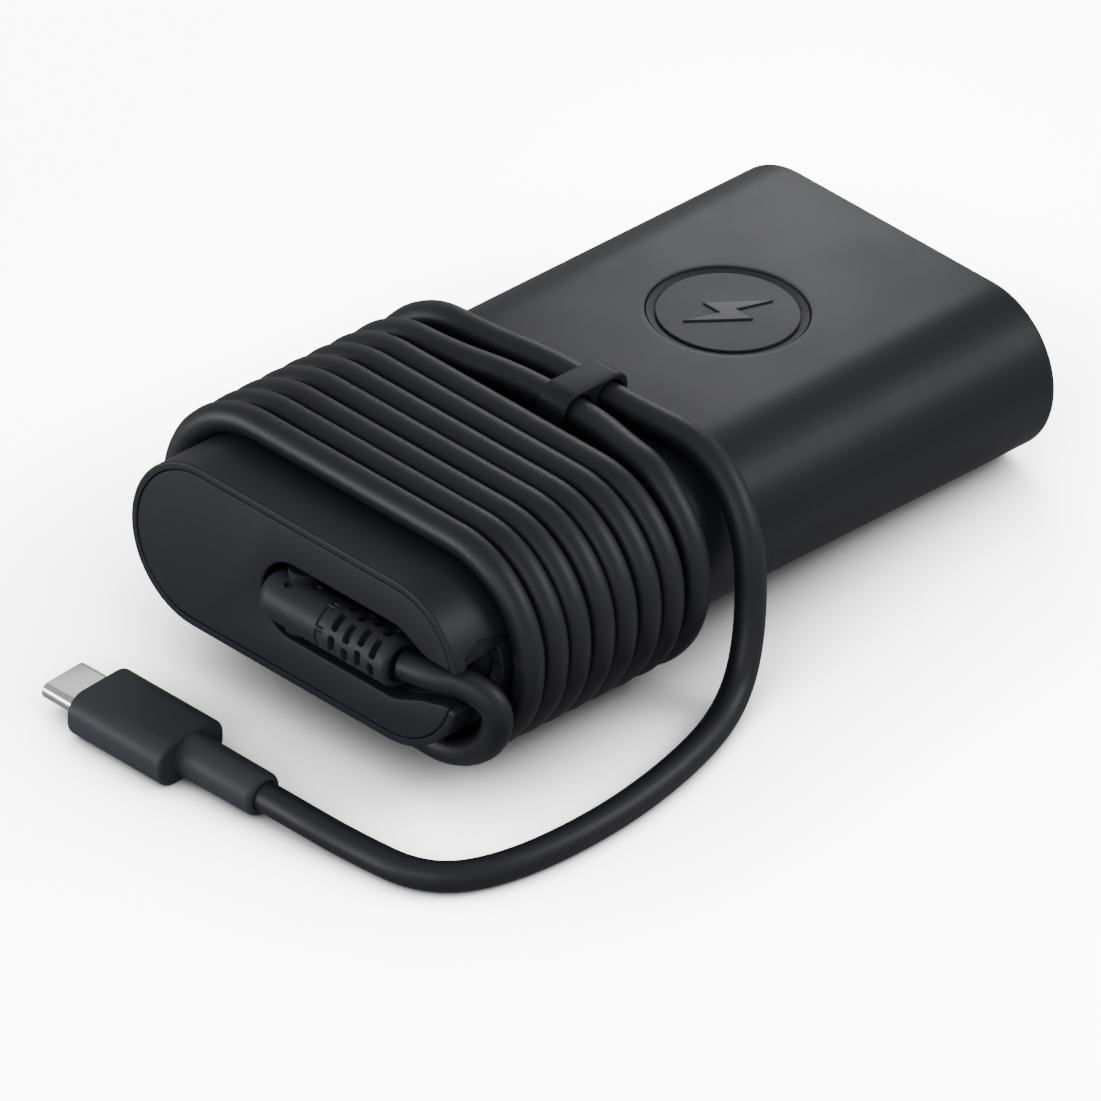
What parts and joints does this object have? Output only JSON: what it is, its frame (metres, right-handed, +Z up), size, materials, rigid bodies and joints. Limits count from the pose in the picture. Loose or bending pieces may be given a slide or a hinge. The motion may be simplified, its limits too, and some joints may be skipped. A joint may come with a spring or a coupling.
{
  "type": "laptop power adapter",
  "caption": "Slim mains-to-USB-C laptop adapter with its low-voltage cord wound round the case, held by a sliding clip, and a swivelling cord exit.",
  "frame": {"origin": "on the table under the middle of the case; the case rests nose-up on its rear bottom edge and on the cord wound under it", "axes": "+Z up from the table, +Y towards the mains inlet end, +X to the right as seen from the cord end"},
  "size_m": [0.0827, 0.1373, 0.0366],
  "materials": {
    "case_shell": "fine-grained matt charcoal plastic",
    "end_caps": "matt charcoal plastic",
    "inlet_plastic": "black heat-resistant plastic",
    "pin_metal": "nickel-plated brass pins",
    "badge": "smooth black disc",
    "badge_symbol": null,
    "label": "blank grey rating label",
    "steel": "drawn steel",
    "knuckle": "hard black plastic",
    "relief_rubber": "satin soft plastic",
    "cord_jacket": "satin black cord jacket",
    "clip_rubber": "satin black rubber",
    "plug_grip": "fine-grained matt plastic",
    "plug_steel": "bright drawn stainless steel",
    "contact_holder": "black moulded insert",
    "gold_contact": "gold-plated contacts",
    "board": "green circuit board",
    "chip": "black epoxy package",
    "sheet": "clear-brown polyester sheet",
    "aluminium": "pressed aluminium",
    "film_capacitor": "yellow film capacitor box",
    "can": "sleeved aluminium can",
    "ceramic": "blue ceramic disc",
    "ferrite": "dark grey ferrite",
    "copper": "enamelled copper wire",
    "tape": "yellow winding tape",
    "fuse_glass": "glass fuse tube",
    "pad_silicone": "grey-blue silicone pad",
    "wire_red": "red wire",
    "wire_black": "black wire"
  },
  "bodies": {
    "case": {"ac_inlet_body": "inlet_plastic", "badge_disc": "badge", "badge_mark": "badge_symbol", "bridge_rectifier": "chip", "bulk_capacitor": "can", "choke_core": "ferrite", "choke_windings": "copper", "control_card": "board", "control_chip": "chip", "cord_coil": "cord_jacket", "cord_lead": "cord_jacket", "cord_tail": "cord_jacket", "dc_lead_negative": "wire_black", "dc_lead_positive": "wire_red", "front_cap": "end_caps", "fuse": "fuse_glass", "heat_spreader_lower": "aluminium", "heat_spreader_upper": "aluminium", "inlet_lead_line": "wire_black", "inlet_lead_neutral": "wire_black", "inlet_pin_earth": "pin_metal", "inlet_pin_line": "pin_metal", "inlet_pin_neutral": "pin_metal", "insulation_sheet_lower": "sheet", "insulation_sheet_upper": "sheet", "main_board": "board", "optocoupler": "chip", "output_capacitors": "can", "plug_board": "board", "plug_contacts_lower": "gold_contact", "plug_contacts_upper": "gold_contact", "plug_insulator": "contact_holder", "plug_marker_chip": "chip", "plug_overmould": "plug_grip", "plug_shell": "plug_steel", "plug_strain_relief": "relief_rubber", "port_controller": "chip", "power_factor_choke": "tape", "primary_heatsink": "aluminium", "rating_label": "label", "rear_cap": "end_caps", "sleeve": "case_shell", "switching_transistors": "chip", "swivel_pin": "steel", "sync_rectifiers": "chip", "thermal_pads": "pad_silicone", "transformer_bobbin": "tape", "transformer_core": "ferrite", "transformer_windings": "copper", "x_capacitor": "film_capacitor", "y_capacitor": "ceramic"},
    "cord_swivel": {"dc_strain_relief": "relief_rubber", "swivel_knuckle": "knuckle"},
    "clip": {"cable_clip": "clip_rubber"}
  },
  "joints": [
    {"name": "cord_swivel", "type": "hinge", "parent": "case", "child": "cord_swivel", "pos_m": [-0.0003, -0.05466, 0.02042], "axis": [0, -0.072, -0.9974], "range_deg": [0, 20]},
    {"name": "clip_slide", "type": "slide", "parent": "case", "child": "clip", "axis": [1, 0, 0], "range_m": [-0.004, 0.003]}
  ]
}
